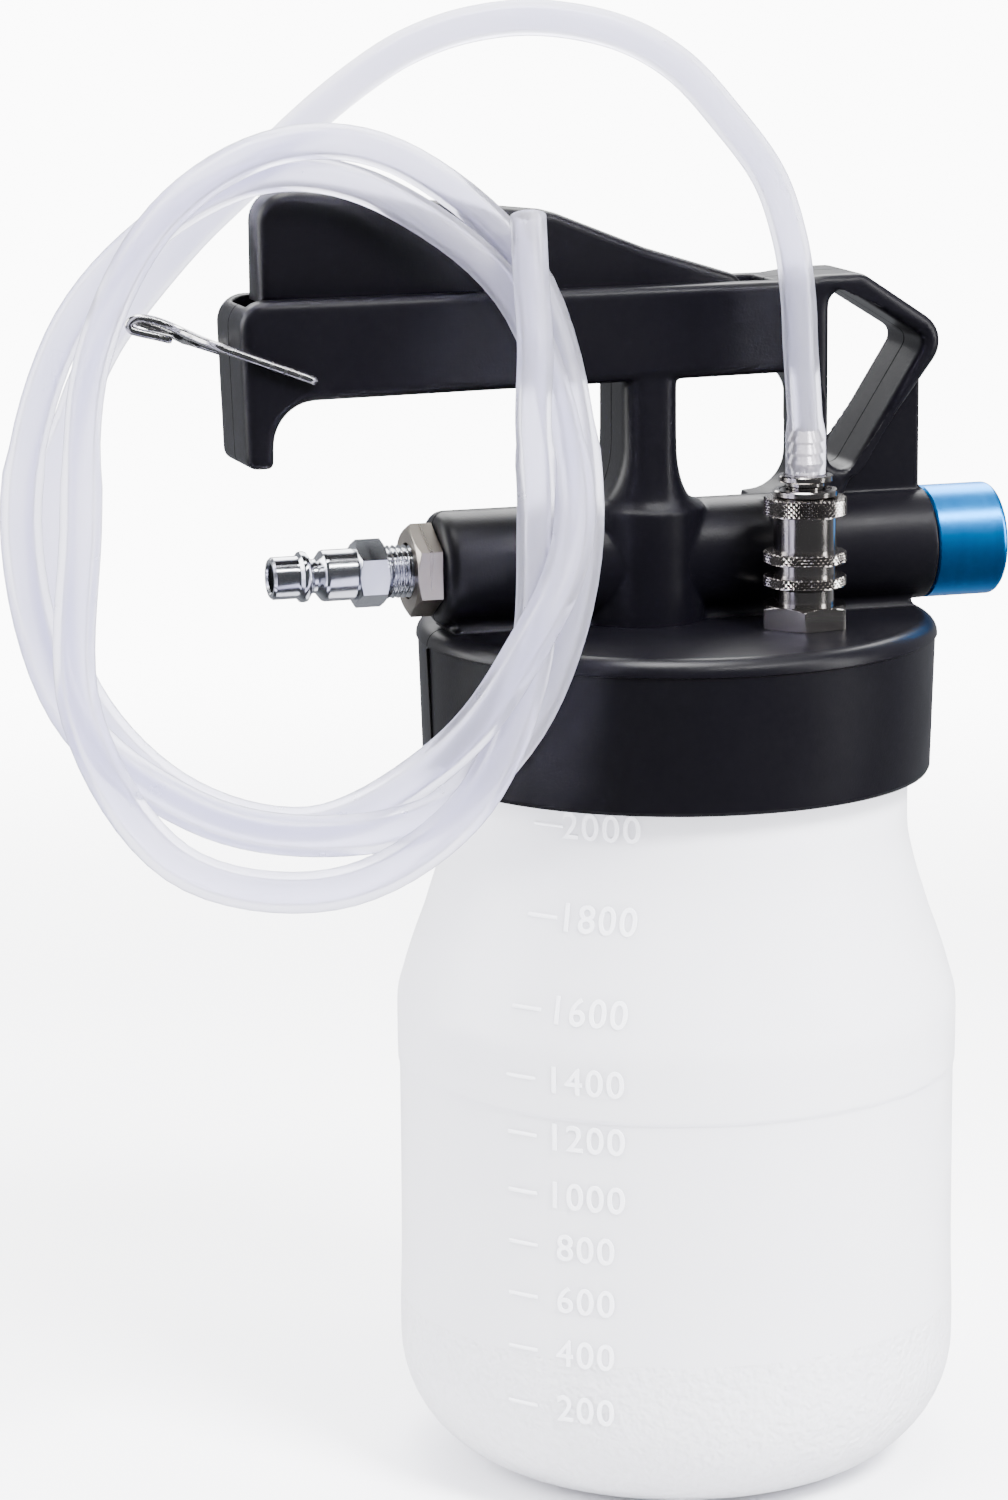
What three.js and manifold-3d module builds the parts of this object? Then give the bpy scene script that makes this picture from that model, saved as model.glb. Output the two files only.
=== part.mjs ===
// Air-driven vacuum bleeder bottle: millimetres, +Z up, origin at the centre of the bottle's base.
// +X runs along the ejector housing to the muffler and -Y is the side the hose coupler stands on.
import * as THREE from 'three';
import { mergeVertices } from 'three/addons/utils/BufferGeometryUtils.js';
import Module from 'manifold-3d';

const wasm = await Module();
wasm.setup();

// ---- driving dimensions -------------------------------------------------------------------
const GAP = 0.3; // clearance left between neighbouring pieces
const TAU = Math.PI * 2;

// bottle
const BODY_R = 70;
const HEEL_R = 31.8;
const WALL = 1.7;
const NECK_R = 57.6;
const NECK_BORE_R = 55;
const RIM_Z = 206.5;
const THREAD_LEAD = 12; // two starts, so the ridges stand half a lead apart
const THREAD_R = 1.1;

// lid
const LID_TOP = 215.2;
const LID_R = 64.4;
const LID_FOOT_R = 63;
const LID_FOOT_Z = 177.4;
const LID_BORE_R = 60.4;
const LID_FILLET = 4;
const LID_UNDER = 211;

// ejector housing and valve chamber
const AXIS_Z = 230.1;
const HOUSING_R = 14.2;
const HOUSING_X0 = -62.3;
const HOUSING_X1 = 64.8;
const VALVE_X = -10;
const CHAMBER_R = 16.5;
const CHAMBER_TOP = 243.5;
const CHAMBER_BORE_R = 8.3;
const CHAMBER_BORE_TOP = 242.6;
const EJECTOR_BORE_R = 8;
const EJECTOR_X0 = 10;
const INLET_BORE_R = 9.5;
const PORT_X = 34;

// handle
const GRIP_T = 26;
const GRIP_X0 = -113.5;
const GRIP_TOP = 298.2;
const GRIP_UNDER = 274.6;
const HOOK_Z = 258.2;
const HOOK_ARC = 12;
const POST_HALF = 6.9;
const CHANNEL_HALF = 6.9;
const CHANNEL_FLOOR = 279;
const GUSSET_HALF = 3.5;

// lever and its lock wire
const LEVER_T = 12.4;
const PIN_X = 13.5;
const PIN_Z = 289;
const PIN_R = 1.5;
const WIRE_R = 1.1;
const LOCK_X = -95.8;
const LOCK_Z = 279.2;
const LOCK_Y = 14.4;

// hose coupler
const COUPLER_X = 24;
const COUPLER_Y = -26;
const HEX_FLATS = 20;

// hose
const HOSE_R = 4.3;

// ---- helpers ------------------------------------------------------------------------------
function tidy(source) {
  const plain = new THREE.BufferGeometry();
  plain.setAttribute('position', source.getAttribute('position').clone());
  if (source.index) {
    plain.setIndex(source.index.clone());
  }
  const merged = mergeVertices(plain, 1e-3);
  const index = merged.index.array;
  const kept = [];
  for (let i = 0; i < index.length; i += 3) {
    const a = index[i];
    const b = index[i + 1];
    const c = index[i + 2];
    if (a !== b && b !== c && a !== c) {
      kept.push(a, b, c);
    }
  }
  const p = merged.getAttribute('position');
  let volume = 0;
  const va = new THREE.Vector3();
  const vb = new THREE.Vector3();
  const vc = new THREE.Vector3();
  for (let i = 0; i < kept.length; i += 3) {
    va.fromBufferAttribute(p, kept[i]);
    vb.fromBufferAttribute(p, kept[i + 1]);
    vc.fromBufferAttribute(p, kept[i + 2]);
    volume += va.dot(vb.cross(vc));
  }
  if (volume < 0) {
    kept.reverse();
  }
  merged.setIndex(kept);
  return merged;
}

function solid(geometry) {
  const g = tidy(geometry);
  const mesh = new wasm.Mesh({
    numProp: 3,
    vertProperties: new Float32Array(g.getAttribute('position').array),
    triVerts: new Uint32Array(g.index.array),
  });
  return new wasm.Manifold(mesh);
}

function fromSolid(manifold) {
  const mesh = manifold.getMesh();
  const g = new THREE.BufferGeometry();
  g.setAttribute('position', new THREE.BufferAttribute(new Float32Array(mesh.vertProperties), 3));
  g.setIndex(new THREE.BufferAttribute(new Uint32Array(mesh.triVerts), 1));
  return g;
}

function join(list) {
  let out = solid(list[0]);
  for (let i = 1; i < list.length; i += 1) {
    out = out.add(solid(list[i]));
  }
  return out;
}

function cut(body, list) {
  let out = body;
  for (const tool of list) {
    out = out.subtract(solid(tool));
  }
  return out;
}

// a turned piece standing on Z; its outline is [radius, height] pairs
function turnZ(outline, segments, x = 0, y = 0) {
  const points = outline.map((p) => new THREE.Vector2(p[0], p[1]));
  return new THREE.LatheGeometry(points, segments).rotateX(Math.PI / 2).translate(x, y, 0);
}

// a turned piece lying on the ejector axis; its outline is [radius, x] pairs
function turnX(outline, segments) {
  const points = outline.map((p) => new THREE.Vector2(p[0], p[1]));
  return new THREE.LatheGeometry(points, segments).rotateZ(-Math.PI / 2).translate(0, 0, AXIS_Z);
}

function ring(inner, outer, low, high) {
  return [[inner, low], [outer, low], [outer, high], [inner, high], [inner, low]];
}

function rodZ(r, low, high, segments, x, y) {
  return turnZ([[0, low], [r, low], [r, high], [0, high]], segments, x, y);
}

function rodX(r, low, high, segments, z = AXIS_Z) {
  const g = turnX([[0, low], [r, low], [r, high], [0, high]], segments);
  return g.translate(0, 0, z - AXIS_Z);
}

function rodY(r, low, high, segments, x, z) {
  const g = new THREE.CylinderGeometry(r, r, high - low, segments);
  return g.translate(x, (low + high) / 2, z);
}

function box(x0, x1, y0, y1, z0, z1) {
  const g = new THREE.BoxGeometry(x1 - x0, y1 - y0, z1 - z0);
  return g.translate((x0 + x1) / 2, (y0 + y1) / 2, (z0 + z1) / 2);
}

// a side profile in X and Z, thick in Y about the mid-plane
function slab(shape, thickness, bevel, curveSegments = 4) {
  const g = new THREE.ExtrudeGeometry(shape, {
    depth: thickness - 2 * bevel,
    bevelEnabled: bevel > 0,
    bevelThickness: bevel,
    bevelSize: bevel,
    bevelOffset: -bevel,
    bevelSegments: 2,
    curveSegments,
  });
  return g.translate(0, 0, bevel - thickness / 2).rotateX(Math.PI / 2);
}

function outline(points) {
  return new THREE.Shape(points.map((p) => new THREE.Vector2(p[0], p[1])));
}

function circle(r) {
  const shape = new THREE.Shape();
  shape.absarc(0, 0, r, 0, TAU, false);
  return shape;
}

function tube(curve, r, steps, sides) {
  return new THREE.ExtrudeGeometry(circle(r), { steps, extrudePath: curve, curveSegments: sides });
}

function path(points) {
  return new THREE.CatmullRomCurve3(points.map((p) => new THREE.Vector3(p[0], p[1], p[2])));
}

function hexZ(flats, low, high, turn, x, y) {
  const g = new THREE.CylinderGeometry(flats / Math.sqrt(3), flats / Math.sqrt(3), high - low, 6);
  return g.rotateX(Math.PI / 2).rotateZ(turn).translate(x, y, (low + high) / 2);
}

function hexX(flats, low, high, turn) {
  const g = new THREE.CylinderGeometry(flats / Math.sqrt(3), flats / Math.sqrt(3), high - low, 6);
  return g.rotateZ(Math.PI / 2).rotateX(turn).translate((low + high) / 2, 0, AXIS_Z);
}

class Helix extends THREE.Curve {
  constructor(r, low, lead, turns, start, x = 0, y = 0) {
    super();
    this.values = { r, low, lead, turns, start, x, y };
  }

  getPoint(t, target = new THREE.Vector3()) {
    const v = this.values;
    const a = v.start + t * v.turns * TAU;
    const z = v.low + t * v.turns * v.lead;
    return target.set(v.x + v.r * Math.cos(a), v.y + v.r * Math.sin(a), z);
  }
}

const group = new THREE.Group();

function add(name, geometry, colour, roughness, metalness) {
  const material = new THREE.MeshStandardMaterial({ color: colour, roughness, metalness });
  const mesh = new THREE.Mesh(tidy(geometry), material);
  mesh.name = name;
  group.add(mesh);
}

const BLACK = [0x1c1b20, 0.55, 0];
const STEEL = [0xc9ccd0, 0.22, 1];
const BRASS = [0xb09a62, 0.3, 1];
const RUBBER = [0x141414, 0.8, 0];

// ---- bottle -------------------------------------------------------------------------------
const heel = [];
for (let i = 0; i <= 5; i += 1) {
  const a = (i / 5) * (Math.PI / 2);
  heel.push([BODY_R - HEEL_R + HEEL_R * Math.sin(a), HEEL_R - HEEL_R * Math.cos(a)]);
}
const side = [
  [BODY_R, 43], [BODY_R - 0.35, 43.6], [BODY_R - 0.35, 101], [BODY_R + 0.2, 106], [BODY_R + 0.2, 117],
  [BODY_R - 0.6, 122], [BODY_R - 3, 131], [NECK_R + 1.4, 155], [NECK_R - 0.8, 163], [NECK_R, 166],
];
const outside = [[0, 0], ...heel, ...side, [NECK_R, RIM_Z]];
const inside = [
  [NECK_BORE_R, RIM_Z], [NECK_BORE_R, 163], [NECK_R - 0.6, 153], [BODY_R - 4.9, 130],
  [BODY_R - 2, 118], [BODY_R - 2, 100], [BODY_R - WALL - 0.35, 43],
];
for (let i = 4; i >= 1; i -= 1) {
  const a = (i / 4) * (Math.PI / 2);
  const r = HEEL_R - WALL;
  inside.push([BODY_R - HEEL_R + r * Math.sin(a), HEEL_R - r * Math.cos(a)]);
}
inside.push([0, 2.2]);
function ridge(r, low, start) {
  return tube(new Helix(r, low, THREAD_LEAD, 0.4, start), THREAD_R, 12, 3);
}
const bottleParts = [turnZ([...outside, ...inside], 40)];
for (let i = 0; i < 2; i += 1) {
  bottleParts.push(ridge(NECK_R + 0.4, 195, i * Math.PI));
}
add('bottle', fromSolid(join(bottleParts)), 0xe9ebea, 0.45, 0);

add('lid_gasket', turnZ(ring(NECK_BORE_R, NECK_R + 1.6, RIM_Z + GAP, RIM_Z + 2.7), 32), ...RUBBER);

// ---- head: lid, housing, chamber, post, grip and rear frame moulded in one ------------------
const lidOutline = [[0, LID_TOP], [LID_R - LID_FILLET, LID_TOP]];
for (let i = 1; i <= 3; i += 1) {
  const a = (i / 3) * (Math.PI / 2);
  const r = LID_R - LID_FILLET + LID_FILLET * Math.sin(a);
  lidOutline.push([r, LID_TOP - LID_FILLET + LID_FILLET * Math.cos(a)]);
}
lidOutline.push([LID_FOOT_R, LID_FOOT_Z], [LID_BORE_R, LID_FOOT_Z], [LID_BORE_R, RIM_Z + 3]);
lidOutline.push([53, RIM_Z + 3], [53, LID_UNDER], [0, LID_UNDER]);

const grip = new THREE.Shape();
grip.moveTo(GRIP_X0 + 4.2, HOOK_Z);
grip.lineTo(-106.2, HOOK_Z);
grip.lineTo(-105, HOOK_Z + 1.5);
grip.lineTo(-105, GRIP_UNDER - HOOK_ARC - 0.8);
grip.absarc(-105 + HOOK_ARC, GRIP_UNDER - HOOK_ARC - 0.8, HOOK_ARC, Math.PI, Math.PI / 2, true);
grip.lineTo(24.5, GRIP_UNDER + 0.6);
grip.quadraticCurveTo(32.4, GRIP_UNDER + 0.4, 32.4, 266);
grip.lineTo(32.4, 255.5);
grip.quadraticCurveTo(32.2, 246.5, 24, 245);
grip.lineTo(24, 238);
grip.lineTo(37, 238);
grip.lineTo(40.2, 246.3);
grip.lineTo(59.6, 270.8);
grip.quadraticCurveTo(64, 276.4, 64, 281);
grip.quadraticCurveTo(63.4, 286.8, 57, 290.8);
grip.lineTo(46.4, 297.2);
grip.quadraticCurveTo(42, 299.6, 36, 299.4);
grip.lineTo(0, GRIP_TOP);
grip.lineTo(GRIP_X0 + 7, GRIP_TOP);
grip.quadraticCurveTo(GRIP_X0 + 0.4, GRIP_TOP - 0.4, GRIP_X0, GRIP_TOP - 7);
grip.lineTo(GRIP_X0 + 0.9, HOOK_Z + 3.4);
grip.quadraticCurveTo(GRIP_X0 + 1.4, HOOK_Z + 0.4, GRIP_X0 + 4.2, HOOK_Z);

const frameWindow = [
  [35.6, 256.4], [36.7, 253.8], [39.2, 252.6], [41.8, 252.9], [43.6, 254.4], [58.3, 278],
  [59.2, 280.8], [58.9, 283.6], [57.2, 285.6], [42.2, 295.1], [39.6, 295.8], [36.8, 294.8], [35.6, 292],
];
const gusset = outline([[34, 238], [63.2, 238], [63.2, 274], [58, 272], [39, 248]]);
const post = new THREE.Shape();
const postCorner = 4.6;
const half = GRIP_T / 2;
post.moveTo(-POST_HALF + postCorner, -half);
post.absarc(POST_HALF - postCorner, -half + postCorner, postCorner, -Math.PI / 2, 0, false);
post.absarc(POST_HALF - postCorner, half - postCorner, postCorner, 0, Math.PI / 2, false);
post.absarc(-POST_HALF + postCorner, half - postCorner, postCorner, Math.PI / 2, Math.PI, false);
post.absarc(-POST_HALF + postCorner, -half + postCorner, postCorner, Math.PI, Math.PI * 1.5, false);
const postSolid = new THREE.ExtrudeGeometry(post, { depth: 36, bevelEnabled: false, curveSegments: 3 });
postSolid.translate(VALVE_X, 0, GRIP_UNDER - 34);

const flare = [[0, CHAMBER_TOP - 6], [CHAMBER_R - 1.2, CHAMBER_TOP - 6], [CHAMBER_R - 1.2, CHAMBER_TOP]];
flare.push([11.6, 246], [8.9, 249.6], [7.4, 254], [POST_HALF - 0.2, 259], [0, 259]);

const housing = [[0, HOUSING_X0], [HOUSING_R - 2.6, HOUSING_X0], [HOUSING_R - 0.8, HOUSING_X0 + 0.9]];
housing.push([HOUSING_R, HOUSING_X0 + 2.8], [HOUSING_R, HOUSING_X1], [0, HOUSING_X1]);
const chamber = [[0, LID_UNDER + 1], [CHAMBER_R, LID_UNDER + 1], [CHAMBER_R, CHAMBER_TOP - 1.2]];
chamber.push([CHAMBER_R - 1.2, CHAMBER_TOP], [0, CHAMBER_TOP]);

const frameTool = outline(frameWindow);
const lidThreads = [];
for (let i = 0; i < 2; i += 1) {
  lidThreads.push(ridge(LID_BORE_R - 0.6, 192, i * Math.PI));
}
const headMass = join([
  turnZ(lidOutline, 44),
  turnX(housing, 24),
  turnZ(chamber, 24, VALVE_X),
  turnZ(flare, 16, VALVE_X),
  box(HOUSING_X0 + 2, 60.5, -7, 7, LID_UNDER + 1, AXIS_Z),
  postSolid,
  slab(grip, GRIP_T, 2, 3),
  slab(gusset, GUSSET_HALF * 2, 0),
  ...lidThreads,
]);
const head = cut(headMass, [
  slab(frameTool, GRIP_T + 4, 0),
  box(-110.3, 22.6, -CHANNEL_HALF, CHANNEL_HALF, CHANNEL_FLOOR, GRIP_TOP + 8),
  rodY(PIN_R + GAP, -half - 1, half + 1, 14, PIN_X, PIN_Z),
  rodY(WIRE_R + GAP, -half - 1, -8.6, 10, LOCK_X, LOCK_Z),
  rodY(WIRE_R + GAP, 8.6, half + 1, 10, LOCK_X, LOCK_Z),
  rodX(INLET_BORE_R, HOUSING_X0 - 1, -50, 16),
  rodX(2.6, -51, VALVE_X, 8, AXIS_Z - 4),
  rodX(2.5, VALVE_X, EJECTOR_X0 + 1, 8, AXIS_Z + 5),
  rodX(EJECTOR_BORE_R, EJECTOR_X0, HOUSING_X1 + 1, 20),
  rodZ(CHAMBER_BORE_R, LID_UNDER - 1, CHAMBER_BORE_TOP, 20, VALVE_X, 0),
  rodZ(2.9, CHAMBER_BORE_TOP - 1, CHANNEL_FLOOR + 1, 12, VALVE_X, 0),
  rodZ(2.5, LID_UNDER - 1, AXIS_Z - 4, 12, PORT_X, 0),
  rodZ(5.3, LID_UNDER - 1, LID_TOP + 1, 16, COUPLER_X, COUPLER_Y),
]);
add('head_body', fromSolid(head), ...BLACK);

// ---- compressed-air inlet -------------------------------------------------------------------
const bushing = cut(
  join([hexX(HEX_FLATS, -69.4, HOUSING_X0 - GAP, 0), rodX(INLET_BORE_R - GAP, -63.4, -50.4, 16)]),
  [rodX(6.9, -70, -60, 20), rodX(3.4, -61, -49, 16)],
);
add('inlet_bushing', fromSolid(bushing), 0x9b9285, 0.35, 1);

const nippleOutside = [
  [3.5, -104], [4.6, -104], [5.2, -103.2], [5.2, -97.6], [6.2, -96.8], [6.2, -95.2], [4.3, -94.2],
  [4.3, -92.8], [6.3, -90], [6.3, -82.6], [5.2, -81], [5.2, -77], [6.55, -75.4], [6.55, -63],
  [5.6, -61.4], [3.5, -61.4], [3.5, -104],
];
const nipple = solid(turnX(nippleOutside, 16)).add(
  solid(hexX(14.6, -82.6, -75.4, 0)).subtract(solid(rodX(4, -84, -74, 12))),
);
add('inlet_nipple', fromSolid(nipple), ...STEEL);

// ---- ejector --------------------------------------------------------------------------------
const nozzleShape = [[1.1, 12], [7.7, 12], [7.7, 16], [4, 16.6], [4, 24], [2, 30], [1.1, 30], [1.1, 12]];
add('ejector_nozzle', turnX(nozzleShape, 16), ...BRASS);
add('nozzle_oring', new THREE.TorusGeometry(6.2, 0.7, 5, 16).rotateY(Math.PI / 2).translate(11, 0, AXIS_Z),
  ...RUBBER);
const diffuserShape = [
  [3.6, 38], [7.7, 38], [7.7, 58.6], [3.8, 58.6], [1.9, 46], [1.9, 42], [3.6, 38],
];
add('diffuser', turnX(diffuserShape, 16), ...BRASS);
const MUFFLER_R = 14.1;
const MUFFLER_X0 = HOUSING_X1 + GAP;
const MUFFLER_X1 = 83.5;
const mufflerShape = [
  [5, 59], [7.6, 59], [7.6, MUFFLER_X0], [MUFFLER_R, MUFFLER_X0], [MUFFLER_R, MUFFLER_X1 - 1.5],
  [MUFFLER_R - 0.5, MUFFLER_X1 - 0.4], [MUFFLER_R - 1.5, MUFFLER_X1], [12.4, MUFFLER_X1],
  [12.4, MUFFLER_X0 + 2], [5, MUFFLER_X0 + 2], [5, 59],
];
add('muffler_shell', turnX(mufflerShape, 24), 0x0a6fc4, 0.28, 0.9);
add('silencer_core', rodX(12.1, MUFFLER_X0 + 2.3, 81.4, 20), 0xd8d4c6, 0.95, 0);
const disc = solid(rodX(12.1, 81.7, 82.9, 20));
const discHoles = [];
for (let i = 0; i < 6; i += 1) {
  const a = (i / 6) * TAU;
  discHoles.push(rodX(1.8, 81, 84, 6).translate(0, 7.4 * Math.cos(a), 7.4 * Math.sin(a)));
}
add('muffler_disc', fromSolid(cut(disc, discHoles)), 0x0a6fc4, 0.3, 0.9);

// ---- valve under the post ----------------------------------------------------------------------
const SLIP_R = CHAMBER_BORE_R - GAP;
add('stem_guide', turnZ(ring(2.7, SLIP_R, 238.4, CHAMBER_BORE_TOP - GAP), 20, VALVE_X), ...BRASS);
add('stem_oring', new THREE.TorusGeometry(3.5, 0.7, 5, 14).translate(VALVE_X, 0, 237.3), ...RUBBER);
add('valve_seat', turnZ(ring(3.2, SLIP_R, 229.2, 232), 20, VALVE_X), ...BRASS);
const stemShape = [[0, 227.9], [1.6, 227.9], [1.6, 233.6], [2.3, 234.4], [2.3, 283.8], [1.5, 284.5], [0, 284.5]];
add('valve_stem', turnZ(stemShape, 14, VALVE_X), ...STEEL);
add('poppet_seal', turnZ(ring(1.9, 5, 228, 228.9), 18, VALVE_X), ...RUBBER);
const poppetShape = [[0, 222.4], [2.6, 222.4], [2.6, 224.6], [5, 224.6], [5, 227.7], [0, 227.7]];
add('valve_poppet', turnZ(poppetShape, 18, VALVE_X), ...BRASS);
add('valve_spring', tube(new Helix(3.7, 216.8, 1.8, 4, 0, VALVE_X, 0), 0.45, 32, 2), ...STEEL);
add('valve_plug', rodZ(SLIP_R, LID_UNDER, 216, 20, VALVE_X, 0), ...BLACK);

// ---- quick coupler for the hose -----------------------------------------------------------------
const HEX_TURN = -0.37;
const couplerOutside = join([
  hexZ(HEX_FLATS, LID_TOP + GAP, 221, HEX_TURN, COUPLER_X, COUPLER_Y),
  rodZ(7.2, 220, 225, 20, COUPLER_X, COUPLER_Y),
  rodZ(6.2, 224, 249.2, 20, COUPLER_X, COUPLER_Y),
  rodZ(5, 203, 217, 16, COUPLER_X, COUPLER_Y),
]);
const BALL_Z = 238;
const ballHoles = [];
for (let i = 0; i < 4; i += 1) {
  const hole = new THREE.CylinderGeometry(1.45, 1.45, 5, 6).rotateZ(Math.PI / 2);
  ballHoles.push(hole.translate(5.6, 0, 0).rotateZ((i * TAU) / 4).translate(COUPLER_X, COUPLER_Y, BALL_Z));
}
const couplerBody = cut(couplerOutside, [
  rodZ(4.6, 227, 250, 20, COUPLER_X, COUPLER_Y),
  rodZ(2.5, 202, 228, 14, COUPLER_X, COUPLER_Y),
  ...ballHoles,
]);
add('coupler_body', fromSolid(couplerBody), ...STEEL);
for (let i = 0; i < 4; i += 1) {
  const a = (i * TAU) / 4;
  const ball = new THREE.IcosahedronGeometry(1.1, 1);
  ball.translate(COUPLER_X + 5.55 * Math.cos(a), COUPLER_Y + 5.55 * Math.sin(a), BALL_Z);
  add(`lock_ball_${i + 1}`, ball, ...STEEL);
}
const sleeveShape = [
  [6.95, 230], [6.95, 247.2], [10.2, 247.2], [10.2, 243], [7.7, 243], [7.7, 233.8], [10.2, 233.8],
  [10.2, 231.2], [7.7, 231.2], [7.7, 228], [10.2, 228], [10.2, 225.4], [7.6, 225.4], [7.6, 230], [6.95, 230],
];
add('coupler_sleeve', turnZ(sleeveShape, 20, COUPLER_X, COUPLER_Y), ...STEEL);
const sleeveSpring = new Helix(6.9, 225.8, 1.5, 2.3, 0, COUPLER_X, COUPLER_Y);
add('sleeve_spring', tube(sleeveSpring, 0.38, 24, 2), ...STEEL);
add('retaining_ring', turnZ(ring(6.5, 8, 247.5, 249), 20, COUPLER_X, COUPLER_Y), ...STEEL);
add('coupler_washer', turnZ(ring(5.3, 8.6, 209.9, LID_UNDER - 0.2), 20, COUPLER_X, COUPLER_Y), ...RUBBER);
const locknut = cut(solid(hexZ(15, 204.8, 209.6, 0, COUPLER_X, COUPLER_Y)), [
  rodZ(5.3, 204, 211, 16, COUPLER_X, COUPLER_Y),
]);
add('coupler_locknut', fromSolid(locknut), ...STEEL);
const plugShape = [
  [2.2, 227.6], [4.2, 227.6], [4.2, 231.2], [3.2, 231.2], [3.2, 232.8], [4.2, 232.8], [4.2, 236.4],
  [3.5, 237], [3.5, 239], [4.2, 239.6], [4.2, 251], [6.7, 251], [6.7, 252.7], [3.3, 252.7], [3.9, 254.4],
  [3.1, 257], [3.9, 257.4], [3.1, 260], [3.9, 260.4], [2.9, 263.4], [2.2, 263.4], [2.2, 227.6],
];
add('hose_plug', turnZ(plugShape, 14, COUPLER_X, COUPLER_Y), ...STEEL);
add('plug_oring', new THREE.TorusGeometry(3.92, 0.55, 5, 14).translate(COUPLER_X, COUPLER_Y, 232), ...RUBBER);

// ---- inside the bottle ----------------------------------------------------------------------------
add('fill_tube', turnZ(ring(2.7, 4.2, 90, 202.7), 16, COUPLER_X, COUPLER_Y), 0xe4e6e2, 0.5, 0);
const cageShape = [[5, 190], [9.6, 190], [9.6, LID_UNDER - GAP], [8, LID_UNDER - GAP], [8, 192], [5, 192], [5, 190]];
const cage = cut(solid(turnZ(cageShape, 16, PORT_X)), [
  box(PORT_X - 12, PORT_X + 12, -2.5, 2.5, 194, 206),
  box(PORT_X - 2.5, PORT_X + 2.5, -12, 12, 194, 206),
]);
add('float_cage', fromSolid(cage), 0x2a2a2e, 0.6, 0);
add('float_ball', new THREE.SphereGeometry(6.6, 14, 8).translate(PORT_X, 0, 196.8), 0xf2f2ee, 0.5, 0);

// ---- lever, pin and lock wire -----------------------------------------------------------------------
const lever = new THREE.Shape();
lever.moveTo(-106.9, 297.2);
lever.lineTo(8, 283.2);
lever.absarc(PIN_X, PIN_Z, 8, -Math.PI * 0.72, Math.PI * 0.4, false);
lever.lineTo(13, 299.4);
lever.lineTo(-9.6, 307.2);
lever.lineTo(-31, 315.2);
lever.quadraticCurveTo(-35, 316.4, -40, 316.5);
lever.lineTo(-96.5, 323);
lever.quadraticCurveTo(-105.4, 323.6, -106.9, 315.6);
const leverSolid = cut(solid(slab(lever, LEVER_T, 1.6, 4)), [
  rodY(PIN_R + GAP, -LEVER_T, LEVER_T, 14, PIN_X, PIN_Z),
]);
add('lever', fromSolid(leverSolid), 0x1a191d, 0.5, 0);
add('lever_pin', rodY(PIN_R, -half + 0.4, half - 0.4, 12, PIN_X, PIN_Z), ...STEEL);

// each leg stands off the grip's side, then turns in to the finger loop in front of the grip
const nearLeg = path([
  [LOCK_X, -9, LOCK_Z], [LOCK_X, -13.4, LOCK_Z], [LOCK_X - 1.2, -LOCK_Y - 0.3, LOCK_Z + 0.5],
  [-105, -LOCK_Y - 0.4, 282.8], [-118.4, -LOCK_Y, 288], [-122, -10, 289.4], [-125, -2.4, 290.9],
  [-129, -0.8, 292.7], [-134.4, -0.4, 294.3], [-137.3, 0, 293], [-135, 0.2, 290.9],
  [-131, 0.2, 289.9], [-127, 0.2, 288.8],
]);
const farLeg = path([
  [LOCK_X, 9, LOCK_Z], [LOCK_X, 13.4, LOCK_Z], [LOCK_X - 1.2, LOCK_Y + 0.3, LOCK_Z + 0.3],
  [-106, LOCK_Y + 0.4, 281.8], [-118.4, LOCK_Y, 286.2], [-122, 9.4, 287.6], [-125.4, 2.4, 289.4],
  [-129, 1.6, 291], [-135, 0.8, 293.2],
]);
const lockWire = solid(tube(nearLeg, WIRE_R, 30, 3)).add(solid(tube(farLeg, WIRE_R, 22, 3)));
add('lock_wire', fromSolid(lockWire), ...STEEL);

// ---- hose: a free arch from the coupler, then a loose coil in front of the grip -------------------------
const arch = path([
  [COUPLER_X, COUPLER_Y, 262], [23.4, -26, 280], [22, -25.6, 296], [15, -23.6, 325], [-6, -18, 351.4],
  [-38, -11, 363], [-66, -2, 357.6], [-91, 6, 339.4], [-107, 9, 324], [-120, 10, 312], [-134, 9, 297.4],
  [-143, 6.4, 286],
]);
const cuffSleeve = turnZ(ring(4.3, 5.1, 253, 264.5), 12, COUPLER_X, COUPLER_Y);
const hoseTube = solid(tube(arch, HOSE_R, 30, 4)).subtract(
  solid(rodZ(4.3, 250, 263.8, 12, COUPLER_X, COUPLER_Y)),
).add(solid(cuffSleeve));
add('hose_tube', fromSolid(hoseTube), 0xe8ebee, 0.35, 0);

const COIL_X = -104;
const COIL_Z = 249.5;
class Coil extends THREE.Curve {
  getPoint(t, target = new THREE.Vector3()) {
    const a = THREE.MathUtils.degToRad(160 + 352 * t);
    const y = -29.5 - 16.5 * Math.cos(a) + 14.5 * Math.sin(a) + 10 * Math.sin(2 * a);
    return target.set(COIL_X + 58 * Math.cos(a), y, COIL_Z + 79 * Math.sin(a));
  }
}
const bundle = new THREE.Shape();
bundle.absellipse(0, 0, 6.4, 8.4, 0, TAU, false, 0);
const coil = new THREE.ExtrudeGeometry(bundle, { steps: 32, extrudePath: new Coil(), curveSegments: 5 });
add('hose_coil', coil, 0xe8ebee, 0.35, 0);

export default group;
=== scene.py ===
"""The looks of an air-driven vacuum bleeder bottle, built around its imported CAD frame.

Lengths are written in millimetres and turned into metres by MM where a mesh is made.
"""

import math

import bmesh
import bpy
from mathutils import Matrix, Vector


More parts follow.
